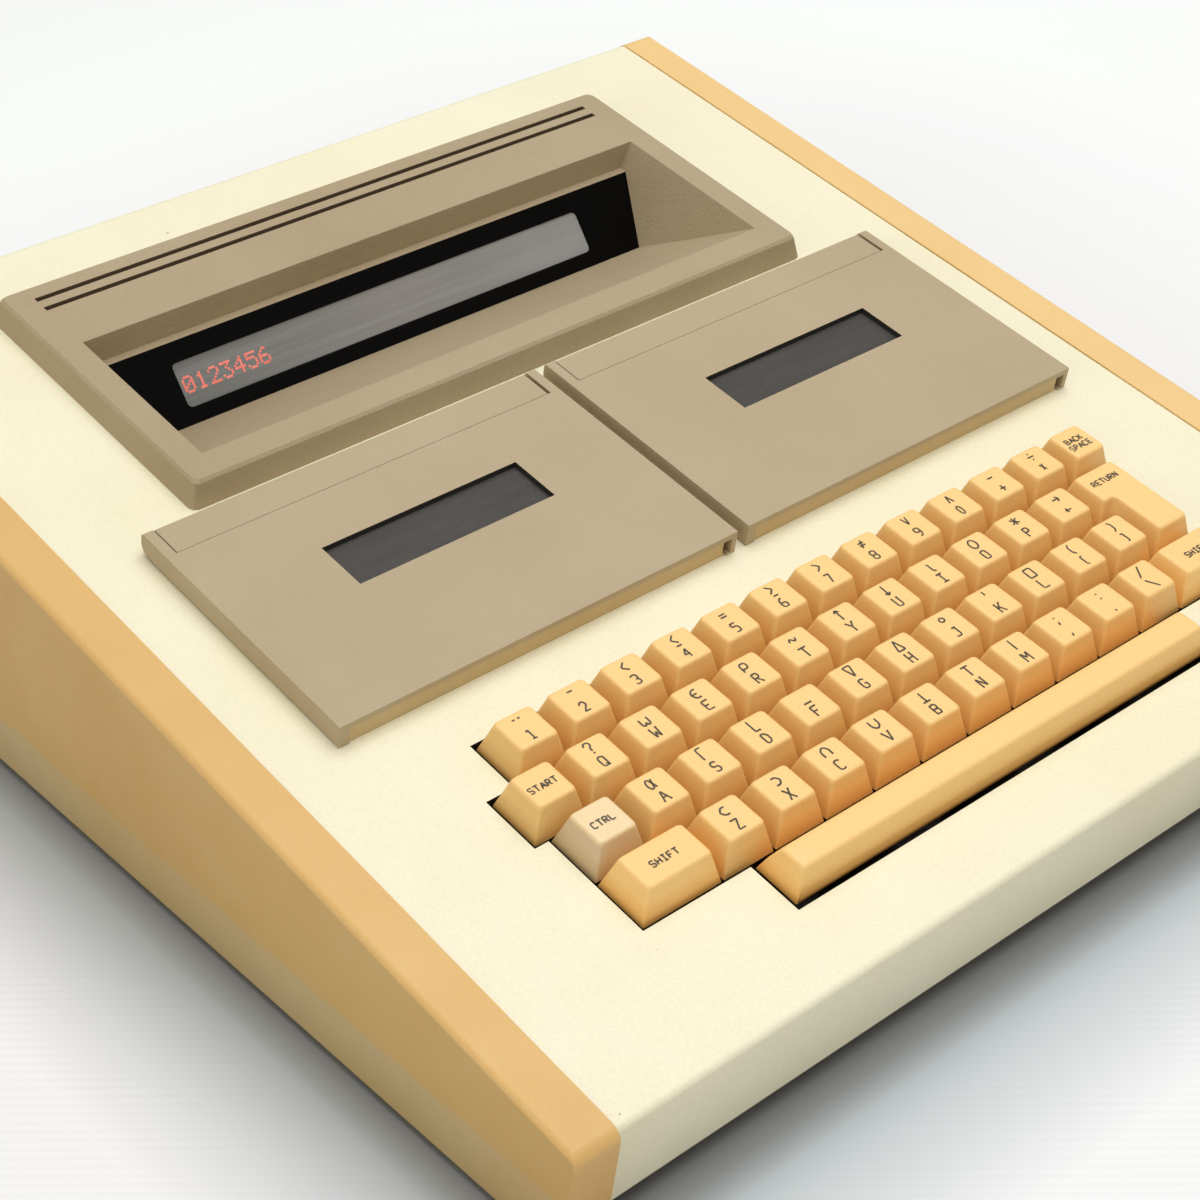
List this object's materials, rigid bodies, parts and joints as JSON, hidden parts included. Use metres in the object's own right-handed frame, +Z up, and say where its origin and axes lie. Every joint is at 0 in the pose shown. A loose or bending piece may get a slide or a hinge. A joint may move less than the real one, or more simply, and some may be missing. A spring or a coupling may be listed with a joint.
{
  "type": "desktop computer",
  "caption": "Wedge-shaped vintage desktop computer with keyboard, twin hinged-lid cassette drives and a hooded one-line plasma display.",
  "frame": {"origin": "centre of the footprint, on the plane the feet stand on", "axes": "+X to the user's right, +Y from the keyboard to the rear panel, +Z up"},
  "size_m": [0.3788, 0.391, 0.1092],
  "materials": {
    "cream_plastic": "fine satin moulding",
    "mustard_plastic": "fine satin moulding",
    "taupe_plastic": "satin moulding",
    "tan_plastic": "satin moulding",
    "key_plastic": "smooth satin keycaps",
    "pale_key_plastic": "smooth satin keycap",
    "black_plastic": "satin black",
    "switch_plastic": "satin",
    "white_plastic": "satin",
    "red_plastic": "polished",
    "display_glass": "smooth grey glass face, opaque",
    "smoked_window": "smoked, nearly opaque",
    "dark_steel": "satin paint",
    "bare_steel": "plain sheet",
    "motor_steel": "drawn can",
    "screw_steel": "plated",
    "black_rubber": "matte",
    "board_green": "varnished board"
  },
  "bodies": {
    "case": {"top_cover": "cream_plastic", "left_side_panel": "mustard_plastic", "right_side_panel": "mustard_plastic", "base_pan": "dark_steel", "rubber_feet": "black_rubber", "rear_sockets": "black_plastic", "power_supply": "bare_steel", "circuit_boards": "board_green", "display_hood": "taupe_plastic", "display_bezel": "black_plastic", "display_tube": "display_glass", "drive_housings": "tan_plastic", "drive_plates": "bare_steel", "drive_motors": "motor_steel", "lid_hinge_pins": "bare_steel", "key_switches": "switch_plastic", "assembly_screws": "screw_steel"},
    "left_lid": {"left_cassette_lid": "taupe_plastic", "left_lid_window": "smoked_window"},
    "right_lid": {"right_cassette_lid": "taupe_plastic", "right_lid_window": "smoked_window"},
    "power_rocker": {"power_switch": "red_plastic"},
    "left_supply_reel": {"left_supply_spindle": "white_plastic"},
    "left_takeup_reel": {"left_takeup_spindle": "white_plastic"},
    "right_supply_reel": {"right_supply_spindle": "white_plastic"},
    "right_takeup_reel": {"right_takeup_spindle": "white_plastic"},
    "number_and_sign_keys": {"number_and_sign_keys": "key_plastic"},
    "key_backspace": {"key_backspace": "key_plastic"},
    "key_start": {"key_start": "key_plastic"},
    "key_return": {"key_return": "key_plastic"},
    "key_ctrl": {"key_ctrl": "pale_key_plastic"},
    "key_left_shift": {"key_left_shift": "key_plastic"},
    "key_right_shift": {"key_right_shift": "key_plastic"},
    "key_space_bar": {"key_space_bar": "key_plastic"},
    "key_Q": {"key_Q": "key_plastic"},
    "key_W": {"key_W": "key_plastic"},
    "key_E": {"key_E": "key_plastic"},
    "key_R": {"key_R": "key_plastic"},
    "key_T": {"key_T": "key_plastic"},
    "key_Y": {"key_Y": "key_plastic"},
    "key_U": {"key_U": "key_plastic"},
    "key_I": {"key_I": "key_plastic"},
    "key_O": {"key_O": "key_plastic"},
    "key_P": {"key_P": "key_plastic"},
    "key_A": {"key_A": "key_plastic"},
    "key_S": {"key_S": "key_plastic"},
    "key_D": {"key_D": "key_plastic"},
    "key_F": {"key_F": "key_plastic"},
    "key_G": {"key_G": "key_plastic"},
    "key_H": {"key_H": "key_plastic"},
    "key_J": {"key_J": "key_plastic"},
    "key_K": {"key_K": "key_plastic"},
    "key_L": {"key_L": "key_plastic"},
    "key_Z": {"key_Z": "key_plastic"},
    "key_X": {"key_X": "key_plastic"},
    "key_C": {"key_C": "key_plastic"},
    "key_V": {"key_V": "key_plastic"},
    "key_B": {"key_B": "key_plastic"},
    "key_N": {"key_N": "key_plastic"},
    "key_M": {"key_M": "key_plastic"}
  },
  "joints": [
    {"name": "cassette_lid_left_hinge", "type": "hinge", "parent": "case", "child": "left_lid", "pos_m": [-0.07605, 0.03527, 0.08323], "axis": [-1, 0, 0], "range_deg": [0, 105]},
    {"name": "cassette_lid_right_hinge", "type": "hinge", "parent": "case", "child": "right_lid", "pos_m": [0.07605, 0.03527, 0.08323], "axis": [-1, 0, 0], "range_deg": [0, 105]},
    {"name": "power_rocker", "type": "hinge", "parent": "case", "child": "power_rocker", "pos_m": [-0.078, 0.18983, 0.034], "axis": [1, 0, 0], "range_deg": [0, 18]},
    {"name": "reel_left_supply", "type": "hinge", "parent": "case", "child": "left_supply_reel", "pos_m": [-0.0973, -0.00243, 0.06379], "axis": [0, -0.1736, 0.9848], "continuous": true},
    {"name": "reel_left_takeup", "type": "hinge", "parent": "case", "child": "left_takeup_reel", "pos_m": [-0.0548, -0.00243, 0.06379], "axis": [0, -0.1736, 0.9848], "continuous": true},
    {"name": "reel_right_supply", "type": "hinge", "parent": "case", "child": "right_supply_reel", "pos_m": [0.0548, -0.00243, 0.06379], "axis": [0, -0.1736, 0.9848], "continuous": true},
    {"name": "reel_right_takeup", "type": "hinge", "parent": "case", "child": "right_takeup_reel", "pos_m": [0.0973, -0.00243, 0.06379], "axis": [0, -0.1736, 0.9848], "continuous": true},
    {"name": "number_and_sign_keys_press", "type": "slide", "parent": "case", "child": "number_and_sign_keys", "axis": [0, 0.1736, -0.9848], "range_m": [0, 0.004], "stiffness_N_per_m": 150, "springref_m": -0.004},
    {"name": "key_backspace_press", "type": "slide", "parent": "case", "child": "key_backspace", "axis": [0, 0.1736, -0.9848], "range_m": [0, 0.004], "stiffness_N_per_m": 150, "springref_m": -0.004},
    {"name": "key_start_press", "type": "slide", "parent": "case", "child": "key_start", "axis": [0, 0.1736, -0.9848], "range_m": [0, 0.004], "stiffness_N_per_m": 150, "springref_m": -0.004},
    {"name": "key_return_press", "type": "slide", "parent": "case", "child": "key_return", "axis": [0, 0.1736, -0.9848], "range_m": [0, 0.004], "stiffness_N_per_m": 150, "springref_m": -0.004},
    {"name": "key_ctrl_press", "type": "slide", "parent": "case", "child": "key_ctrl", "axis": [0, 0.1736, -0.9848], "range_m": [0, 0.004], "stiffness_N_per_m": 150, "springref_m": -0.004},
    {"name": "key_left_shift_press", "type": "slide", "parent": "case", "child": "key_left_shift", "axis": [0, 0.1736, -0.9848], "range_m": [0, 0.004], "stiffness_N_per_m": 150, "springref_m": -0.004},
    {"name": "key_right_shift_press", "type": "slide", "parent": "case", "child": "key_right_shift", "axis": [0, 0.1736, -0.9848], "range_m": [0, 0.004], "stiffness_N_per_m": 150, "springref_m": -0.004},
    {"name": "key_space_bar_press", "type": "slide", "parent": "case", "child": "key_space_bar", "axis": [0, 0.1736, -0.9848], "range_m": [0, 0.004], "stiffness_N_per_m": 150, "springref_m": -0.004},
    {"name": "key_Q_press", "type": "slide", "parent": "case", "child": "key_Q", "axis": [0, 0.1736, -0.9848], "range_m": [0, 0.004], "stiffness_N_per_m": 150, "springref_m": -0.004},
    {"name": "key_W_press", "type": "slide", "parent": "case", "child": "key_W", "axis": [0, 0.1736, -0.9848], "range_m": [0, 0.004], "stiffness_N_per_m": 150, "springref_m": -0.004},
    {"name": "key_E_press", "type": "slide", "parent": "case", "child": "key_E", "axis": [0, 0.1736, -0.9848], "range_m": [0, 0.004], "stiffness_N_per_m": 150, "springref_m": -0.004},
    {"name": "key_R_press", "type": "slide", "parent": "case", "child": "key_R", "axis": [0, 0.1736, -0.9848], "range_m": [0, 0.004], "stiffness_N_per_m": 150, "springref_m": -0.004},
    {"name": "key_T_press", "type": "slide", "parent": "case", "child": "key_T", "axis": [0, 0.1736, -0.9848], "range_m": [0, 0.004], "stiffness_N_per_m": 150, "springref_m": -0.004},
    {"name": "key_Y_press", "type": "slide", "parent": "case", "child": "key_Y", "axis": [0, 0.1736, -0.9848], "range_m": [0, 0.004], "stiffness_N_per_m": 150, "springref_m": -0.004},
    {"name": "key_U_press", "type": "slide", "parent": "case", "child": "key_U", "axis": [0, 0.1736, -0.9848], "range_m": [0, 0.004], "stiffness_N_per_m": 150, "springref_m": -0.004},
    {"name": "key_I_press", "type": "slide", "parent": "case", "child": "key_I", "axis": [0, 0.1736, -0.9848], "range_m": [0, 0.004], "stiffness_N_per_m": 150, "springref_m": -0.004},
    {"name": "key_O_press", "type": "slide", "parent": "case", "child": "key_O", "axis": [0, 0.1736, -0.9848], "range_m": [0, 0.004], "stiffness_N_per_m": 150, "springref_m": -0.004},
    {"name": "key_P_press", "type": "slide", "parent": "case", "child": "key_P", "axis": [0, 0.1736, -0.9848], "range_m": [0, 0.004], "stiffness_N_per_m": 150, "springref_m": -0.004},
    {"name": "key_A_press", "type": "slide", "parent": "case", "child": "key_A", "axis": [0, 0.1736, -0.9848], "range_m": [0, 0.004], "stiffness_N_per_m": 150, "springref_m": -0.004},
    {"name": "key_S_press", "type": "slide", "parent": "case", "child": "key_S", "axis": [0, 0.1736, -0.9848], "range_m": [0, 0.004], "stiffness_N_per_m": 150, "springref_m": -0.004},
    {"name": "key_D_press", "type": "slide", "parent": "case", "child": "key_D", "axis": [0, 0.1736, -0.9848], "range_m": [0, 0.004], "stiffness_N_per_m": 150, "springref_m": -0.004},
    {"name": "key_F_press", "type": "slide", "parent": "case", "child": "key_F", "axis": [0, 0.1736, -0.9848], "range_m": [0, 0.004], "stiffness_N_per_m": 150, "springref_m": -0.004},
    {"name": "key_G_press", "type": "slide", "parent": "case", "child": "key_G", "axis": [0, 0.1736, -0.9848], "range_m": [0, 0.004], "stiffness_N_per_m": 150, "springref_m": -0.004},
    {"name": "key_H_press", "type": "slide", "parent": "case", "child": "key_H", "axis": [0, 0.1736, -0.9848], "range_m": [0, 0.004], "stiffness_N_per_m": 150, "springref_m": -0.004},
    {"name": "key_J_press", "type": "slide", "parent": "case", "child": "key_J", "axis": [0, 0.1736, -0.9848], "range_m": [0, 0.004], "stiffness_N_per_m": 150, "springref_m": -0.004},
    {"name": "key_K_press", "type": "slide", "parent": "case", "child": "key_K", "axis": [0, 0.1736, -0.9848], "range_m": [0, 0.004], "stiffness_N_per_m": 150, "springref_m": -0.004},
    {"name": "key_L_press", "type": "slide", "parent": "case", "child": "key_L", "axis": [0, 0.1736, -0.9848], "range_m": [0, 0.004], "stiffness_N_per_m": 150, "springref_m": -0.004},
    {"name": "key_Z_press", "type": "slide", "parent": "case", "child": "key_Z", "axis": [0, 0.1736, -0.9848], "range_m": [0, 0.004], "stiffness_N_per_m": 150, "springref_m": -0.004},
    {"name": "key_X_press", "type": "slide", "parent": "case", "child": "key_X", "axis": [0, 0.1736, -0.9848], "range_m": [0, 0.004], "stiffness_N_per_m": 150, "springref_m": -0.004},
    {"name": "key_C_press", "type": "slide", "parent": "case", "child": "key_C", "axis": [0, 0.1736, -0.9848], "range_m": [0, 0.004], "stiffness_N_per_m": 150, "springref_m": -0.004},
    {"name": "key_V_press", "type": "slide", "parent": "case", "child": "key_V", "axis": [0, 0.1736, -0.9848], "range_m": [0, 0.004], "stiffness_N_per_m": 150, "springref_m": -0.004},
    {"name": "key_B_press", "type": "slide", "parent": "case", "child": "key_B", "axis": [0, 0.1736, -0.9848], "range_m": [0, 0.004], "stiffness_N_per_m": 150, "springref_m": -0.004},
    {"name": "key_N_press", "type": "slide", "parent": "case", "child": "key_N", "axis": [0, 0.1736, -0.9848], "range_m": [0, 0.004], "stiffness_N_per_m": 150, "springref_m": -0.004},
    {"name": "key_M_press", "type": "slide", "parent": "case", "child": "key_M", "axis": [0, 0.1736, -0.9848], "range_m": [0, 0.004], "stiffness_N_per_m": 150, "springref_m": -0.004}
  ]
}
